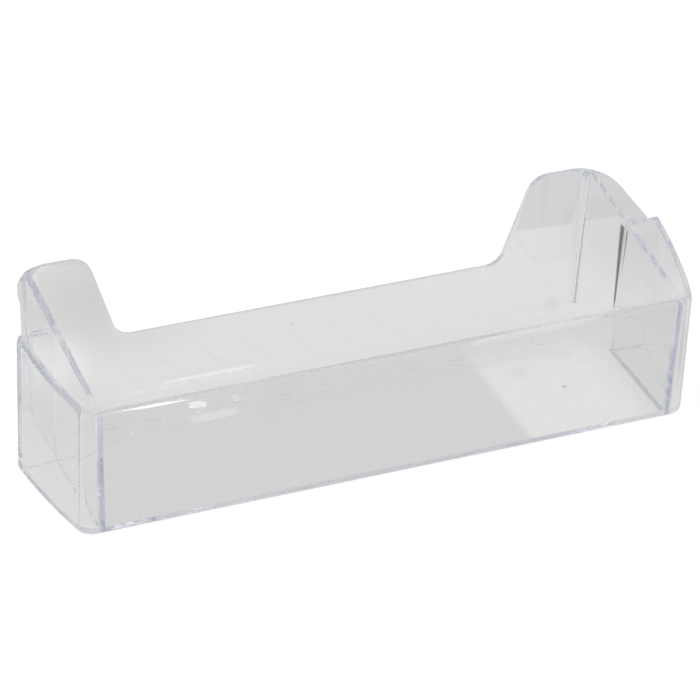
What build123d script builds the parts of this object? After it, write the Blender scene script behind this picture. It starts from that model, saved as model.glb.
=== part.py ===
from build123d import *
import os
from math import hypot, radians, sqrt, tan

# One clear moulding: a bottle shelf that hangs in a refrigerator door.
# Millimetres, +Z up, +Y towards the door, origin under the middle of the shelf.

# Overall form
width = 400.0            # across the two bowed wings
depth = 130.0            # front face to back face
front_height = 81.0
ear_height = 99.5        # top of the two raised back corners
lip_height = 42.0        # low middle of the back wall
wall = 3.5
floor_thickness = 3.5

# Inner tray
inner_length = 347.0     # between the end walls, at the floor
end_draft = 1.6          # degrees that each end wall leans outwards
inner_corner = 6.0       # upright corners at the back
floor_corner = 2.5       # floor to end walls
cove_radius = 5.0        # floor to back wall
base_round = 3.0         # outside bottom edge of the front and the wings
flange = 1.5             # how far the back wall stands out beyond the end walls
flange_round = 1.0

# Front wings, one pocket in each
front_width = 372.0      # across the front face, before its corners are rounded
front_corner = 10.0
wing_bow = 2.0           # how far each wing side bulges beyond a straight line
panel_back = 10.0        # back face of the panel that closes a wing
panel_height = 90.8
pocket_round = 2.0

# Ledges that hang on the door, behind the wings
ledge_width = 383.0      # across both ledges, at the panels
ledge_back_width = 373.0 # and at the back wall, before their corners are rounded
ledge_thickness = 3.0
ledge_corner = 24.0
ear_lean = 27.0          # degrees that the ears' outer corners lean in to the ledges
ear_lean_height = 14.0

# Back cut-out
cut_top_width = 282.0    # between the ears at their tops
cut_foot_width = 243.0   # at the level of the lip
ear_round = 14.0
foot_round = 12.0

# Bevelled rim
rim_drop = 4.0
rim_inset = 1.2
rim_round = 0.8

# Floor relief
well_length = 322.0      # bottle well, at its upper edge
well_width = 81.0
well_back = 25.0
well_slope = 6.0
well_depth = 1.0
pad_count = 11
pad_pitch = 27.5
pad_width = 10.0
pad_length = 31.0
pad_slant = 20.5         # degrees that each pad turns away from front-to-back
pad_height = 1.4         # at the top of its crown
pad_radius = 200.0       # of the crown, along the pad
pad_lean = 6.5           # how far the top of the crown lies behind the pad's middle
pad_middle = 41.5        # where the row of pads lies, front to back
pad_shift = 2.5          # how far the row lies to the right of the middle

# Raised lines on the outside of each end wall
line_middles = (47.3, 54.0)
line_width = 1.2
line_proud = 0.8
line_bottom = 54.0
line_top = 85.0

# Room that a cutting body has beyond what it cuts, and the closeness that counts as the same place
spare = 5.0
tiny = 0.01

front = -depth / 2
back = depth / 2
back_inner = back - wall
front_inner = front + wall
rim_slope = (ear_height - front_height) / (back_inner - front)
wing_slope = (panel_height - front_height) / (panel_back - front)


def end_wall_inside(z):
    return inner_length / 2 + (z - floor_thickness) * tan(radians(end_draft))


def end_wall_outside(z):
    return end_wall_inside(z) + wall


def back_wall_end(z):
    return end_wall_outside(z) + flange


def rim_level(y):
    return front_height + (y - front) * rim_slope


def wing_level(y):
    return front_height + (y - front) * wing_slope


def closed(points):
    return make_face(Polyline(*points, close=True))


def between(outline, y_from, y_to):
    # an outline drawn in X and Z, carried from one depth to another
    return extrude(Plane.XZ.offset(-y_to) * outline, y_to - y_from, dir=(0, -1, 0))


def crosswise(outline):
    # an outline drawn in Y and Z, carried across the whole width
    return extrude(Plane.YZ * outline, width, dir=(1, 0, 0), both=True)


def upright(outline, z_from, z_to):
    return extrude(Pos(0, 0, z_from) * outline, z_to - z_from, dir=(0, 0, 1))


def end_profile(reach, z_from, z_to):
    # the space between the two leaning end walls; reach gives half its length at a height
    return closed(
        [
            (-reach(z_from), z_from),
            (reach(z_from), z_from),
            (reach(z_to), z_to),
            (-reach(z_to), z_to),
        ]
    )


def wing_side(y, inset):
    # half the width at a depth, on an arc that runs through the front corner and the panel corner
    run_x = (width - front_width) / 2
    run_y = panel_back - front
    chord = hypot(run_x, run_y)
    radius = chord**2 / (8 * wing_bow) + wing_bow / 2
    from_middle = radius - wing_bow
    centre_x = (width + front_width) / 4 - run_y / chord * from_middle
    centre_y = (front + panel_back) / 2 + run_x / chord * from_middle
    return centre_x + sqrt((radius - inset) ** 2 - (y - centre_y) ** 2)


def wing_outline(inset):
    # the shelf's front in plan, drawn in from its outside by inset
    y_front = front + inset
    y_back = panel_back - inset
    right = [(wing_side(y, inset), y) for y in (y_front, (y_front + y_back) / 2, y_back)]
    left = [(-x, y) for x, y in reversed(right)]
    lines = [
        Line(left[2], right[0]),
        ThreePointArc(*right),
        Line(right[2], left[0]),
        ThreePointArc(*left),
    ]
    outline = make_face(Wire(lines))
    return fillet(outline.vertices().group_by(Axis.Y)[0], front_corner - inset)


def above_tray():
    # everything over the end walls' sloping rim and the level ears
    front_y = front - spare
    back_y = back + spare
    top = ear_height + wall + spare
    return crosswise(
        closed(
            [
                (front_y, rim_level(front_y)),
                (back_inner, ear_height),
                (back_y, ear_height),
                (back_y, top),
                (front_y, top),
            ]
        )
    )


def above_wings():
    # everything over the front rim and the wings, which rise a little less
    front_y = front - spare
    back_y = panel_back + spare
    top = ear_height + spare
    return crosswise(
        closed(
            [
                (front_y, wing_level(front_y)),
                (back_y, wing_level(back_y)),
                (back_y, top),
                (front_y, top),
            ]
        )
    )


def wings():
    # the front of the shelf, panel to panel, as a block with a bevelled rim
    block = upright(wing_outline(0), 0, ear_height) - above_wings()
    rim = block.faces().sort_by(Axis.Z)[-1]
    shown = rim.edges().filter_by(lambda e: e.center().Y < panel_back - wall)
    block = chamfer(shown, rim_inset, rim_drop, reference=rim)
    rim = block.faces().sort_by(Axis.Z)[-1]
    shown = rim.edges().filter_by(lambda e: e.center().Y < panel_back - wall)
    block = fillet(shown, rim_round)
    base = block.faces().sort_by(Axis.Z)[0]
    shown = base.edges().filter_by(lambda e: e.center().Y < panel_back - wall)
    return fillet(shown, base_round)


def below_back():
    # what the rounded outside edge leaves free below the back wall
    radius = cove_radius + floor_thickness
    edge = RadiusArc((back, radius), (back - radius, 0), radius)
    outside = Polyline(
        (back - radius, 0),
        (back - radius, -spare),
        (back + spare, -spare),
        (back + spare, radius),
        (back, radius),
    )
    return crosswise(make_face((edge + outside).edges()))


def tray_block():
    # the tray's outside, from inside the front wall to the back face, and the back wall's flanges
    top = ear_height + wall
    block = between(end_profile(end_wall_outside, 0, top), front_inner, back)
    base = block.faces().sort_by(Axis.Z)[0]
    block = fillet(base.edges().filter_by(Axis.Y), floor_corner + wall)
    back_wall = between(end_profile(back_wall_end, 0, top), back_inner, back)
    uprights = back_wall.edges().filter_by(lambda e: abs(e.tangent_at(0).Z) > 0.5)
    back_wall = fillet(uprights, flange_round)
    return block + back_wall - below_back() - above_tray()


def ledge_outline():
    # both ledges in plan, widest at the panels, with rounded back corners and the tray between them
    reach = back - rim_inset - panel_back
    outline = closed(
        [
            (ledge_width / 2, panel_back),
            (ledge_back_width / 2, panel_back + reach),
            (-ledge_back_width / 2, panel_back + reach),
            (-ledge_width / 2, panel_back),
            (-ledge_back_width / 2, panel_back - reach),
            (ledge_back_width / 2, panel_back - reach),
        ]
    )
    return fillet(outline.vertices().filter_by(lambda v: abs(v.Y - panel_back) > tiny), ledge_corner)


def ledges():
    # a sloping plate, of which only the strip outside each end wall remains
    slab = crosswise(
        closed(
            [
                (panel_back, rim_level(panel_back) - ledge_thickness),
                (back_inner, ear_height - ledge_thickness),
                (back, ear_height - ledge_thickness),
                (back, ear_height),
                (back_inner, ear_height),
                (panel_back, rim_level(panel_back)),
            ]
        )
    )
    return upright(ledge_outline(), 0, ear_height) & slab


def ear_corners():
    # what leans away from the ears' outer corners, so that they end in the ledges' rounded outline
    low = ear_height - ear_lean_height
    around = Pos(0, back - ledge_corner / 2) * Rectangle(2 * width, ledge_corner)
    top = Pos(0, 0, ear_height) * ledge_outline()
    kept = extrude(top, ear_lean_height, dir=(0, 0, -1), taper=-ear_lean)
    return upright(around, low, ear_height) - kept


def cavity():
    top = ear_height + spare
    space = between(end_profile(end_wall_inside, floor_thickness, top), front_inner, back_inner)
    behind = space.faces().sort_by(Axis.Y)[-1]
    uprights = behind.edges().filter_by(lambda e: abs(e.tangent_at(0).Z) > 0.5)
    space = fillet(uprights, inner_corner)
    base = space.faces().sort_by(Axis.Z)[0]
    shown = base.edges().filter_by(lambda e: e.center().Y > front_inner + wall)
    return fillet(shown, floor_corner)


def pockets():
    top = ear_height + spare
    space = upright(wing_outline(wall), floor_thickness, top)
    space = fillet(space.faces().sort_by(Axis.Z)[0].edges(), pocket_round)
    return space - between(end_profile(end_wall_outside, 0, top), front, back)


def back_outline():
    # back wall seen from behind: two ears and a low lip between them
    reach = width / 2
    outline = closed(
        [
            (-reach, 0),
            (reach, 0),
            (reach, ear_height),
            (cut_top_width / 2, ear_height),
            (cut_foot_width / 2, lip_height),
            (-cut_foot_width / 2, lip_height),
            (-cut_top_width / 2, ear_height),
            (-reach, ear_height),
        ]
    )
    feet = outline.vertices().filter_by(lambda v: abs(v.Y - lip_height) < tiny)
    outline = fillet(feet, foot_round)
    ears = outline.vertices().filter_by(lambda v: v.Y > ear_height - tiny and abs(v.X) < reach - tiny)
    return fillet(ears, ear_round)


def back_trim():
    # what is cut from a plain back wall to leave its outline and bevelled edge
    plate = between(back_outline(), front, back)
    behind = plate.faces().sort_by(Axis.Y)[-1]
    shown = behind.edges().filter_by(lambda e: abs(e.center().X) < width / 2 - tiny)
    rim = shown.filter_by(lambda e: e.center().Z > tiny)
    plate = chamfer(rim, rim_drop, rim_inset, reference=behind)
    around = closed(
        [
            (-width, -spare),
            (width, -spare),
            (width, ear_height + spare),
            (-width, ear_height + spare),
        ]
    )
    return between(around, back_inner - tiny, back + spare) - plate


def cove():
    # the hollow that leads the floor up into the back wall
    low = floor_thickness
    y_from = back_inner - cove_radius
    inside = wall / 8
    hollow = RadiusArc((back_inner, low + cove_radius), (y_from, low), cove_radius)
    buried = Polyline(
        (y_from, low),
        (y_from, low - inside),
        (back_inner + inside, low - inside),
        (back_inner + inside, low + cove_radius),
        (back_inner, low + cove_radius),
    )
    reach = end_wall_inside(low) + inside
    return extrude(Plane.YZ * make_face((hollow + buried).edges()), reach, dir=(1, 0, 0), both=True)


def bottle_well():
    # shallow round-ended hollow in the floor, with sloping sides
    upper = SlotOverall(well_length, well_width)
    lower = SlotOverall(well_length - 2 * well_slope, well_width - 2 * well_slope)
    middle = Pos(0, well_back - well_width / 2, floor_thickness)
    return loft([middle * upper, middle * Pos(0, 0, -well_depth) * lower])


def pads():
    # row of raised slanting pads behind the well, each with a crowned top that is highest at the rear
    outline = SlotOverall(pad_length, pad_width, rotation=90 - pad_slant)
    pad = upright(outline, floor_thickness / 2, floor_thickness + pad_height + spare)
    crown_place = Rot(0, 0, -pad_slant) * Pos(0, pad_lean, floor_thickness + pad_height - pad_radius)
    pad &= crown_place * Rot(0, 90, 0) * Cylinder(pad_radius, pad_length)
    return [Pos(pad_shift, pad_middle) * spot * pad for spot in GridLocations(pad_pitch, 0, pad_count, 1)]


def raised_lines():
    # two plain upright lines on the outside of each end wall, below its ledge
    inside = wall / 2
    outline = closed(
        [
            (end_wall_outside(line_bottom) - inside, line_bottom),
            (end_wall_outside(line_bottom) + line_proud, line_bottom),
            (end_wall_outside(line_top) + line_proud, line_top),
            (end_wall_outside(line_top) - inside, line_top),
        ]
    )
    right = [between(outline, y - line_width / 2, y + line_width / 2) for y in line_middles]
    return right + [mirror(line, Plane.YZ) for line in right]


def door_shelf():
    shelf = wings() + tray_block() + ledges() - ear_corners() - cavity() - pockets() - back_trim()
    return shelf + cove() - bottle_well() + pads() + raised_lines()


os.makedirs("parts", exist_ok=True)
export_step(door_shelf(), "parts/door_shelf.step")
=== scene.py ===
import math

import bpy
import numpy as np
from mathutils import Matrix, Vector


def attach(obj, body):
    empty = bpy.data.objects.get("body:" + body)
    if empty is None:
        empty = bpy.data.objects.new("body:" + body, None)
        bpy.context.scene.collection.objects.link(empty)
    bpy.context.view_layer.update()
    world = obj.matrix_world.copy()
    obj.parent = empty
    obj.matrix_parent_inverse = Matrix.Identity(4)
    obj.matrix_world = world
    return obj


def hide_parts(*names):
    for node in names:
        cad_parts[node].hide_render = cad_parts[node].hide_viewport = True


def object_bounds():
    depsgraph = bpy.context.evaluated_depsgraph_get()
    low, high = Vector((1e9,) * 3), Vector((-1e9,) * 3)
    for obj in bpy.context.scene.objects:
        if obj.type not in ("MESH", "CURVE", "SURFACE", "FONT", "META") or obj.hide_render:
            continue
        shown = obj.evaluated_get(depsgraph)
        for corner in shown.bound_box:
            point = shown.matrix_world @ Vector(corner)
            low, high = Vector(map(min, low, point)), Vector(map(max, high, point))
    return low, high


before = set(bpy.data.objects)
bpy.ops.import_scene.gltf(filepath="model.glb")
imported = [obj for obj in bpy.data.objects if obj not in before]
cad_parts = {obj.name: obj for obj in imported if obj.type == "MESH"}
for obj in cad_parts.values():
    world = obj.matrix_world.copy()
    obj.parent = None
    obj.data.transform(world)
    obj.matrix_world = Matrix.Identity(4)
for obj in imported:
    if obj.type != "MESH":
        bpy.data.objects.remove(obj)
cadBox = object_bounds()
floorLevel = cadBox[0][2]
print("frame loaded:", sorted(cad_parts))


# helpers for shader nodes
def newNodes(tree, output):
    tree.nodes.clear()
    return tree.nodes.new(output)


def addNode(tree, kind, **values):
    node = tree.nodes.new(kind)
    for name, value in values.items():
        setattr(node, name, value)
    return node


def mathNode(tree, operation, first, second=0.0):
    # one sum or product of two sockets or plain numbers
    node = addNode(tree, "ShaderNodeMath", operation=operation)
    for socket, value in zip(node.inputs, (first, second)):
        if isinstance(value, (int, float)):
            socket.default_value = value
        else:
            tree.links.new(value, socket)
    return node.outputs[0]


def smoothStep(tree, value, fromRange, toRange):
    node = addNode(tree, "ShaderNodeMapRange", interpolation_type="SMOOTHSTEP")
    tree.links.new(value, node.inputs["Value"])
    for name, number in zip(("From Min", "From Max", "To Min", "To Max"), (*fromRange, *toRange)):
        node.inputs[name].default_value = number
    return node.outputs[0]


def noise(tree, place, scale, detail):
    node = addNode(tree, "ShaderNodeTexNoise")
    tree.links.new(place, node.inputs["Vector"])
    node.inputs["Scale"].default_value = scale
    node.inputs["Detail"].default_value = detail
    return node.outputs["Fac"]


def axes(tree, vector):
    split = addNode(tree, "ShaderNodeSeparateXYZ")
    tree.links.new(vector, split.inputs[0])
    return split.outputs["X"], split.outputs["Y"], split.outputs["Z"]


def distanceTo(tree, place, middle):
    away = addNode(tree, "ShaderNodeVectorMath", operation="DISTANCE")
    tree.links.new(place, away.inputs[0])
    away.inputs[1].default_value = middle
    return away.outputs["Value"]


# clear plastic
clearPlastic = {
    "tint": (0.955, 0.96, 0.955, 1.0),
    "frontShade": (0.868, 0.873, 0.868, 1.0),       # the front wall, darkened by painted shade
    "frontShadeBack": (-0.0613, -0.0600),           # where it ends, to the back
    "frontShadeSide": (0.1765, 0.1790),             # and to both sides
    "endOnShade": (0.52, 0.53, 0.67, 1.0),          # painted shade where the end walls meet the front wall, seen end-on
    "endOnShadeMiddle": (0.1752, 0.0279),           # its X at the floor, and X gained per metre of height
    "endOnShadeReach": (0.0010, 0.0021),            # half its width, full and faded
    "endOnShadeBack": (-0.0648, -0.0640),           # where it ends, so that only the outer face has it
    "ior": 1.56,
    "depthColour": (0.25, 0.33, 0.85, 1.0),   # what a long way through the plastic leaves
    "depthDensity": 0.6,                      # per metre
    "polish": (0.02, 0.07),                   # roughness, clean and smeared
    "smearScale": 26.0,
    "smearDetail": 4.0,
    "smearRange": (0.42, 0.72),               # noise levels of clean and smeared
    "rimRoughness": 0.09,                     # added on the moulded rims
    "rimLevel": (0.036, 0.040),               # height above which a level face is a rim
    "rimFacing": (0.15, 0.7),                 # upright part of the direction of a wall and of a level face
    "flowScale": 34.0,                        # slow waves of the moulded surface
    "flowDetail": 1.0,
    "flowHeight": 0.00003,
    "dirt": (0.30, 0.29, 0.27, 1.0),
    "marks": (                                # place, reach and strength of each mark
        ((0.1305, -0.0174, 0.0025), 0.0020, 1.0),
        ((0.1116, 0.0050, 0.0025), 0.0080, 0.16),
        ((0.0961, 0.0013, 0.0025), 0.0014, 0.45),
        ((0.1595, 0.0615, 0.0053), 0.0085, 0.10),
        ((0.1570, 0.0615, 0.0203), 0.0060, 0.08),
        ((-0.0119, 0.0615, 0.0276), 0.0016, 0.30),
    ),
    "markCore": 0.3,                          # share of its reach up to which a mark is full
    "grainScale": 900.0,                      # fine noise that breaks up the marks
    "grainDetail": 3.0,
    "grainRange": (0.3, 0.7),
    "grainShare": (0.5, 1.0),
    "creaseShade": (0.004, 0.004, 0.006, 1.0),      # painted shade, a dark line in the crease behind the right panel
    "crease": (0.1769, 0.0279, 0.0100),       # its X at the floor, X gained per metre of height, and its Y
    "creaseHeight": (0.030, 0.088),
    "creaseReach": (0.0022, 0.0052),          # how far it spreads along the end wall, low and high
    "creaseSide": 0.0004,                     # and along the panel
    "creaseEdge": (0.6, 1.2),                 # where its oval fades, as a square of the reach
    "creaseFoot": (0.026, 0.036),
    "creaseHead": (0.0862, 0.0885),
}


def rimShare(tree, place, sizes):
    # 1 on level faces above the lip, both from outside and from within
    facing = addNode(tree, "ShaderNodeNewGeometry").outputs["Normal"]
    upright = mathNode(tree, "ABSOLUTE", axes(tree, facing)[2])
    level = smoothStep(tree, upright, sizes["rimFacing"], (0.0, 1.0))
    high = smoothStep(tree, axes(tree, place)[2], sizes["rimLevel"], (0.0, 1.0))
    return mathNode(tree, "MULTIPLY", level, high)


def frontShadeShare(tree, place, sizes):
    # 1 on both faces of the front wall, as far as the end walls, where the painted shade lies
    x, y, z = axes(tree, place)
    front = smoothStep(tree, y, sizes["frontShadeBack"], (1.0, 0.0))
    aside = smoothStep(tree, mathNode(tree, "ABSOLUTE", x), sizes["frontShadeSide"], (1.0, 0.0))
    return mathNode(tree, "MULTIPLY", front, aside)


def endOnShadeShare(tree, place, sizes):
    # 1 on the front face within a narrow strip about each leaning end wall, where the painted shade lies
    x, y, z = axes(tree, place)
    startX, gain = sizes["endOnShadeMiddle"]
    wallX = mathNode(tree, "ADD", mathNode(tree, "MULTIPLY", z, gain), startX)
    away = mathNode(tree, "SUBTRACT", mathNode(tree, "ABSOLUTE", x), wallX)
    strip = smoothStep(tree, mathNode(tree, "ABSOLUTE", away), sizes["endOnShadeReach"], (1.0, 0.0))
    front = smoothStep(tree, y, sizes["endOnShadeBack"], (1.0, 0.0))
    return mathNode(tree, "MULTIPLY", strip, front)


def dirtShare(tree, place, sizes):
    # each mark fades from its middle, and fine noise breaks it up
    grain = noise(tree, place, sizes["grainScale"], sizes["grainDetail"])
    grain = smoothStep(tree, grain, sizes["grainRange"], sizes["grainShare"])
    total = None
    for middle, reach, strength in sizes["marks"]:
        fade = (sizes["markCore"] * reach, reach)
        mark = smoothStep(tree, distanceTo(tree, place, middle), fade, (strength, 0.0))
        total = mark if total is None else mathNode(tree, "MAXIMUM", total, mark)
    return mathNode(tree, "MULTIPLY", total, grain)


def creaseShare(tree, place, sizes):
    # painted shade: 1 within an oval about the leaning crease that grows with height, and nothing past its
    # foot and head
    x, y, z = axes(tree, place)
    startX, gain, startY = sizes["crease"]
    creaseX = mathNode(tree, "ADD", mathNode(tree, "MULTIPLY", z, gain), startX)
    reach = smoothStep(tree, z, sizes["creaseHeight"], sizes["creaseReach"])
    awayX = mathNode(tree, "DIVIDE", mathNode(tree, "SUBTRACT", x, creaseX), sizes["creaseSide"])
    awayY = mathNode(tree, "DIVIDE", mathNode(tree, "SUBTRACT", y, startY), reach)
    squares = [mathNode(tree, "POWER", away, 2.0) for away in (awayX, awayY)]
    oval = smoothStep(tree, mathNode(tree, "ADD", *squares), sizes["creaseEdge"], (1.0, 0.0))
    foot = smoothStep(tree, z, sizes["creaseFoot"], (0.0, 1.0))
    head = smoothStep(tree, z, sizes["creaseHead"], (1.0, 0.0))
    return mathNode(tree, "MULTIPLY", oval, mathNode(tree, "MULTIPLY", foot, head))


def plasticColour(tree, place, sizes):
    # the tint, with each layer laid over the ones before it; all but the dirt are painted shade
    layers = {"frontShade": frontShadeShare, "endOnShade": endOnShadeShare, "dirt": dirtShare, "creaseShade": creaseShare}
    colour = None
    for name, share in layers.items():
        mix = addNode(tree, "ShaderNodeMix", data_type="RGBA")
        tree.links.new(share(tree, place, sizes), mix.inputs["Factor"])
        if colour is None:
            mix.inputs["A"].default_value = sizes["tint"]
        else:
            tree.links.new(colour, mix.inputs["A"])
        mix.inputs["B"].default_value = sizes[name]
        colour = mix.outputs["Result"]
    return colour


def makeClearPlastic(sizes):
    material = bpy.data.materials.new("clearPlastic")
    material.use_nodes = True
    tree = material.node_tree
    output = newNodes(tree, "ShaderNodeOutputMaterial")
    place = addNode(tree, "ShaderNodeTexCoord").outputs["Object"]
    shader = addNode(tree, "ShaderNodeBsdfPrincipled")
    shader.inputs["Transmission Weight"].default_value = 1.0
    shader.inputs["IOR"].default_value = sizes["ior"]
    tree.links.new(plasticColour(tree, place, sizes), shader.inputs["Base Color"])
    smear = noise(tree, place, sizes["smearScale"], sizes["smearDetail"])
    smear = smoothStep(tree, smear, sizes["smearRange"], sizes["polish"])
    rim = mathNode(tree, "MULTIPLY", rimShare(tree, place, sizes), sizes["rimRoughness"])
    tree.links.new(mathNode(tree, "ADD", smear, rim), shader.inputs["Roughness"])
    flow = addNode(tree, "ShaderNodeBump")
    flow.inputs["Strength"].default_value = 1.0
    flow.inputs["Distance"].default_value = sizes["flowHeight"]
    waves = noise(tree, place, sizes["flowScale"], sizes["flowDetail"])
    tree.links.new(waves, flow.inputs["Height"])
    tree.links.new(flow.outputs[0], shader.inputs["Normal"])
    depth = addNode(tree, "ShaderNodeVolumeAbsorption")
    depth.inputs["Color"].default_value = sizes["depthColour"]
    depth.inputs["Density"].default_value = sizes["depthDensity"]
    tree.links.new(shader.outputs[0], output.inputs["Surface"])
    tree.links.new(depth.outputs[0], output.inputs["Volume"])
    return material


# moulded shelf, a smooth-shaded copy of the frame's node
shelfCopy = {
    "node": "door_shelf",
    "slot": "clear_plastic",
    "mergeStep": 1e-6,             # corners this close are one
    "planeSteps": (1000, 20000),   # how finely directions and places of planes are told apart
    "flatArea": (2e-5, 2e-3),      # square metres that make a face of many, or of few, triangles flat
    "sharpAngle": 32.0,            # degrees
    "wellAngle": 6.0,              # the same for the shallow well in the floor
    "wellReach": 0.1625,           # half its length, with a little to spare
    "wellBack": 0.0255,
    "wellHeight": (0.001, 0.0036),
    "padCount": 11,                # crowned pads of the floor
    "padPitch": 0.0275,
    "padMiddle": (0.0025, 0.0415),
    "padSpan": (0.0240, 0.0595),   # front to back
    "padSlant": 20.5,              # degrees
    "padLean": 0.0065,
    "padFoot": 0.00352,            # just above the floor
    "padTop": 0.0049,
    "padRadius": 0.2,
    "padFacing": 0.9,              # upright part of the direction of a pad's top, at least
    "spare": 1e-4,
}


def meshArrays(mesh):
    corners = np.empty(len(mesh.vertices) * 3, np.float32)
    mesh.vertices.foreach_get("co", corners)
    triangles = np.empty(len(mesh.loops), np.int32)
    mesh.loops.foreach_get("vertex_index", triangles)
    return corners.reshape(-1, 3).astype(float), triangles.reshape(-1, 3)


def mergedArrays(source, step):
    # corners on the same grid point become one, and triangles that shrink to a line go
    corners, triangles = meshArrays(source)
    grid = np.round(corners / step).astype(np.int64)
    first, place = np.unique(grid, axis=0, return_index=True, return_inverse=True)[1:]
    faces = place.reshape(-1)[triangles]
    a, b, c = faces.T
    return corners[first], faces[(a != b) & (b != c) & (c != a)]


def flatFaces(points, faces, sizes):
    # triangles in one plane count as one face, which is flat if it is large enough
    a, b, c = (points[faces[:, k]] for k in range(3))
    cross = np.cross(b - a, c - a)
    twice = np.linalg.norm(cross, axis=1)
    facing = cross / np.maximum(twice, 1e-15)[:, None]
    offset = (facing * a).sum(1)
    turnStep, placeStep = sizes["planeSteps"]
    keys = np.round(np.column_stack([facing * turnStep, offset * placeStep])).astype(np.int64)
    plane = np.unique(keys, axis=0, return_inverse=True)[1].reshape(-1)
    area = np.bincount(plane, twice / 2)[plane]
    count = np.bincount(plane)[plane]
    many, few = sizes["flatArea"]
    return facing, twice, ((count > 2) & (area > many)) | (area > few)


def cornerNormals(points, faces, sizes):
    # a flat face keeps its own direction; a rounded one takes its neighbours' mean, in which flat ones lead
    facing, weight, flat = flatFaces(points, faces, sizes)
    weight = np.where(flat, 1.0, weight)
    around = [[] for point in points]
    for number, face in enumerate(faces):
        for corner in face:
            around[corner].append(number)
    low, high = sizes["wellHeight"]
    inWell = (np.abs(points[:, 0]) < sizes["wellReach"]) & (points[:, 1] < sizes["wellBack"])
    inWell &= (points[:, 2] > low) & (points[:, 2] < high)
    limit = np.cos(np.radians(np.where(inWell, sizes["wellAngle"], sizes["sharpAngle"])))
    normals = np.repeat(facing, 3, axis=0)
    for number in np.flatnonzero(~flat):
        for k, corner in enumerate(faces[number]):
            near = np.array(around[corner])
            near = near[facing[near] @ facing[number] > limit[corner]]
            total = (facing[near] * weight[near, None]).sum(0)
            normals[3 * number + k] = total / np.linalg.norm(total)
    return padNormals(points, faces, facing, normals, sizes)


def padNormals(points, faces, facing, normals, sizes):
    # a pad's top lies on a cylinder across the pad, so its corners face away from the cylinder's axis
    slant = math.radians(sizes["padSlant"])
    along = np.array((math.sin(slant), math.cos(slant), 0.0))
    upward = np.array((0.0, 0.0, 1.0))
    startX, middleY = sizes["padMiddle"]
    step = np.arange(sizes["padCount"]) - (sizes["padCount"] - 1) / 2
    middleX = startX + step * sizes["padPitch"]
    front, back = sizes["padSpan"]
    middle = points[faces].mean(1)
    onPad = (facing[:, 2] > sizes["padFacing"]) & (points[faces][:, :, 2].min(1) > sizes["padFoot"])
    onPad &= (middle[:, 1] > front) & (middle[:, 1] < back)
    onPad &= middle[:, 2] < sizes["padTop"] + sizes["spare"]
    for number in np.flatnonzero(onPad):
        nearX = middle[number, 0] - math.tan(slant) * (middle[number, 1] - middleY)
        pad = np.array((middleX[np.argmin(np.abs(middleX - nearX))], middleY, 0.0))
        forth = (points[faces[number]] - pad) @ along - sizes["padLean"]
        rise = points[faces[number]][:, 2] - sizes["padTop"] + sizes["padRadius"]
        away = forth[:, None] * along + rise[:, None] * upward
        normals[3 * number:3 * number + 3] = away / np.linalg.norm(away, axis=1)[:, None]
    return normals


def makeShelf(sizes):
    points, faces = mergedArrays(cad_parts[sizes["node"]].data, sizes["mergeStep"])
    mesh = bpy.data.meshes.new("shelfMoulding")
    mesh.from_pydata(points.tolist(), [], faces.tolist())
    mesh.update()
    mesh.shade_smooth()
    mesh.normals_split_custom_set(cornerNormals(points, faces, sizes).tolist())
    shelf = bpy.data.objects.new("shelfMoulding", mesh)
    bpy.context.scene.collection.objects.link(shelf)
    mesh.materials.append(makeClearPlastic(clearPlastic))
    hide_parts(sizes["node"])
    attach(shelf, "root")
    return shelf


shelf = makeShelf(shelfCopy)
print("shelf made:", len(shelf.data.vertices), "corners")


# pale paper under and behind the shelf
paper = {
    "reach": 6.0,                   # metres
    "corners": 5,                   # points to a side of its grid
    "gap": 0.0002,                  # below the shelf
    "colour": (0.2, 0.2, 0.2, 1.0), # its matt share, which shows the shadow
    "white": 0.92,                  # its own white, as the camera sees it
    "near": 0.775,                  # the same paper as the plastic shows it, close to the shelf
    "far": 0.680,                   # and behind its fold, darker: painted shade
    "fold": (0.172, 0.176),         # where one turns into the other, front to back
    "foldSlope": 0.093,             # how much nearer the fold is per metre to the right
    "foldFade": (-0.05, 0.12),      # where the fold fades away to the left
    "pools": (                      # painted light and painted shade at both ends: middle, reach and level
        ((-0.158, 0.113, 0.0), 0.045, 0.23),
        ((-0.165, 0.050, 0.0), 0.055, -0.05),
        ((-0.100, 0.165, 0.0), 0.085, -0.13),
        ((0.255, 0.120, 0.0), 0.080, -0.10),
        ((0.260, -0.090, 0.0), 0.090, -0.22),
    ),
    "lightPatch": 0.145,                 # level that a painted patch of light at the right adds
    "lightPatchSide": (0.086, 0.094),    # its left edge
    "lightPatchEnd": (0.150, 0.190),     # its soft right edge
    "lightPatchBack": (0.000, 0.050),    # its soft back edge
}


def throughRays(tree):
    # 1 for rays that the plastic mirrors or lets through
    path = addNode(tree, "ShaderNodeLightPath")
    return path, mathNode(tree, "MAXIMUM", path.outputs["Is Glossy Ray"], path.outputs["Is Transmission Ray"])


def paperLevel(tree, sizes):
    # even up to a fold behind the shelf and painted shade past it, with round pools of painted light and
    # shade and a painted patch of light
    place = addNode(tree, "ShaderNodeTexCoord").outputs["Object"]
    x, y, z = axes(tree, place)
    behind = mathNode(tree, "ADD", y, mathNode(tree, "MULTIPLY", x, sizes["foldSlope"]))
    drop = smoothStep(tree, behind, sizes["fold"], (0.0, sizes["far"] - sizes["near"]))
    drop = mathNode(tree, "MULTIPLY", drop, smoothStep(tree, x, sizes["foldFade"], (0.0, 1.0)))
    level = mathNode(tree, "ADD", drop, sizes["near"])
    for middle, reach, more in sizes["pools"]:
        pool = smoothStep(tree, distanceTo(tree, place, middle), (0.0, reach), (more, 0.0))
        level = mathNode(tree, "ADD", level, pool)
    side = smoothStep(tree, x, sizes["lightPatchSide"], (0.0, sizes["lightPatch"]))
    end = smoothStep(tree, x, sizes["lightPatchEnd"], (1.0, 0.0))
    back = smoothStep(tree, y, sizes["lightPatchBack"], (1.0, 0.0))
    lightPatch = mathNode(tree, "MULTIPLY", mathNode(tree, "MULTIPLY", side, end), back)
    return mathNode(tree, "ADD", level, lightPatch)


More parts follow.
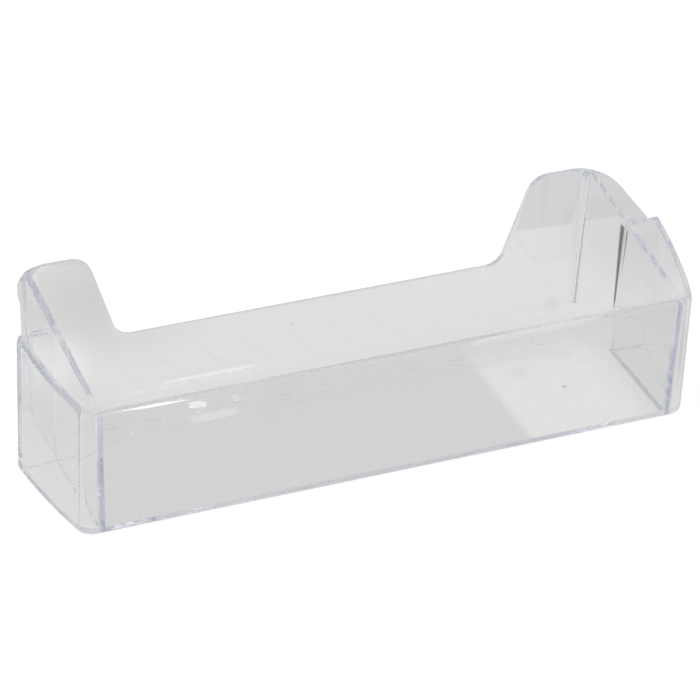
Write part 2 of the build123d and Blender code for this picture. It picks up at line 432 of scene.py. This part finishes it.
def makePaperMaterial(sizes):
    material = bpy.data.materials.new("paper")
    material.use_nodes = True
    tree = material.node_tree
    output = newNodes(tree, "ShaderNodeOutputMaterial")
    lit = addNode(tree, "ShaderNodeBsdfDiffuse")
    lit.inputs["Color"].default_value = sizes["colour"]
    white = addNode(tree, "ShaderNodeEmission")
    white.inputs["Strength"].default_value = sizes["white"]
    direct = addNode(tree, "ShaderNodeAddShader")
    tree.links.new(lit.outputs[0], direct.inputs[0])
    tree.links.new(white.outputs[0], direct.inputs[1])
    path, through = throughRays(tree)
    mirrored = addNode(tree, "ShaderNodeEmission")
    level = mathNode(tree, "MULTIPLY", through, paperLevel(tree, sizes))
    tree.links.new(level, mirrored.inputs["Strength"])
    either = addNode(tree, "ShaderNodeMixShader")
    tree.links.new(path.outputs["Is Camera Ray"], either.inputs["Fac"])
    tree.links.new(mirrored.outputs[0], either.inputs[1])
    tree.links.new(direct.outputs[0], either.inputs[2])
    tree.links.new(either.outputs[0], output.inputs["Surface"])
    return material


def makePaper(sizes):
    # a flat square grid of points, evenly spaced both ways
    count = sizes["corners"]
    line = np.linspace(-sizes["reach"], sizes["reach"], count)
    x, y = np.meshgrid(line, line)
    points = np.stack([x, y, np.full_like(x, floorLevel - sizes["gap"])], -1).reshape(-1, 3)
    start = (np.arange(count - 1)[:, None] * count + np.arange(count - 1)).reshape(-1)
    faces = np.stack([start, start + 1, start + count + 1, start + count], -1)
    mesh = bpy.data.meshes.new("paper")
    mesh.from_pydata(points.tolist(), [], faces.tolist())
    floor = bpy.data.objects.new("paper", mesh)
    bpy.context.scene.collection.objects.link(floor)
    mesh.materials.append(makePaperMaterial(sizes))


makePaper(paper)
print("paper laid")


# room light
room = {
    "fill": 0.7,               # for matt surfaces
    "low": 0.92,               # level at the horizon, as the plastic shows it
    "high": 0.86,              # overhead
    "right": 0.72,             # share that is left at the far right
    "rightFade": (0.75, 0.97),
}


def makeRoom(sizes):
    # fades from the horizon up and to the far right
    world = bpy.data.worlds.new("room")
    world.use_nodes = True
    tree = world.node_tree
    output = newNodes(tree, "ShaderNodeOutputWorld")
    x, y, z = axes(tree, addNode(tree, "ShaderNodeTexCoord").outputs["Generated"])
    level = smoothStep(tree, z, (0.0, 1.0), (sizes["low"], sizes["high"]))
    aside = smoothStep(tree, x, sizes["rightFade"], (1.0, sizes["right"]))
    path, through = throughRays(tree)
    seen = mathNode(tree, "MULTIPLY", through, mathNode(tree, "MULTIPLY", level, aside))
    seen = mathNode(tree, "ADD", seen, path.outputs["Is Camera Ray"])
    matt = mathNode(tree, "MULTIPLY", path.outputs["Is Diffuse Ray"], sizes["fill"])
    sky = addNode(tree, "ShaderNodeBackground")
    tree.links.new(mathNode(tree, "ADD", seen, matt), sky.inputs["Strength"])
    tree.links.new(sky.outputs[0], output.inputs["Surface"])
    bpy.context.scene.world = world


# soft boxes that hang level and shine down, turned in degrees about the upright
# through says whether rays that leave the plastic by refraction see the box
lamps = {
    "tubeBack": {
        "at": (0.252, 0.585, 0.85), "turn": 0.0, "size": (0.045, 0.11), "power": 0.025, "through": True,
    },
    "boxBack": {
        "at": (0.244, 0.842, 0.85), "turn": -21.0, "size": (0.042, 0.19), "power": 0.125, "through": True,
    },
    "tubeFront": {
        "at": (0.113, -0.175, 0.5), "turn": 8.8, "size": (0.07, 0.46), "power": 0.20, "through": False,
    },
    "softTop": {
        "at": (-0.6, 0.3, 1.8), "turn": 0.0, "size": (0.9, 0.9), "power": 5.0, "through": True,
    },
}


def makeLamp(name, sizes):
    light = bpy.data.lights.new(name, "AREA")
    light.shape = "RECTANGLE"
    light.size, light.size_y = sizes["size"]
    light.energy = sizes["power"]
    lamp = bpy.data.objects.new(name, light)
    lamp.location = sizes["at"]
    lamp.rotation_euler = (0.0, 0.0, math.radians(sizes["turn"]))
    lamp.visible_camera = False
    lamp.visible_transmission = sizes["through"]
    bpy.context.scene.collection.objects.link(lamp)


makeRoom(room)
for lampName, lampSizes in lamps.items():
    makeLamp(lampName, lampSizes)
print("lamps:", ", ".join(lamps))


# camera at the photo's angle
camera = {
    "eye": (-0.7093, -1.5847, 1.1829),
    "aim": (-0.0014, 0.0, 0.0450),
    "roll": 2.73,          # degrees
    "lens": 184.25,
    "sensor": 36.0,
    "clip": (0.05, 50.0),
    "bounces": 128,        # as many as light needs to leave the thin walls
}


def makeCamera(sizes):
    forward = np.array(sizes["aim"]) - np.array(sizes["eye"])
    forward /= np.linalg.norm(forward)
    right = np.cross(forward, (0.0, 0.0, 1.0))
    right /= np.linalg.norm(right)
    up = np.cross(right, forward)
    turn = math.radians(sizes["roll"])
    rolledRight = math.cos(turn) * right + math.sin(turn) * up
    rolledUp = math.cos(turn) * up - math.sin(turn) * right
    data = bpy.data.cameras.new("camera")
    data.lens = sizes["lens"]
    data.sensor_width = sizes["sensor"]
    data.clip_start, data.clip_end = sizes["clip"]
    viewer = bpy.data.objects.new("camera", data)
    columns = np.eye(4)
    columns[:3] = np.column_stack([rolledRight, rolledUp, -forward, sizes["eye"]])
    viewer.matrix_world = Matrix(columns.tolist())
    bpy.context.scene.collection.objects.link(viewer)
    bpy.context.scene.camera = viewer


makeCamera(camera)
scene = bpy.context.scene
scene.view_settings.view_transform = "Standard"
scene.cycles.max_bounces = camera["bounces"]
scene.cycles.transmission_bounces = camera["bounces"]
scene.cycles.glossy_bounces = camera["bounces"]
print("camera set")
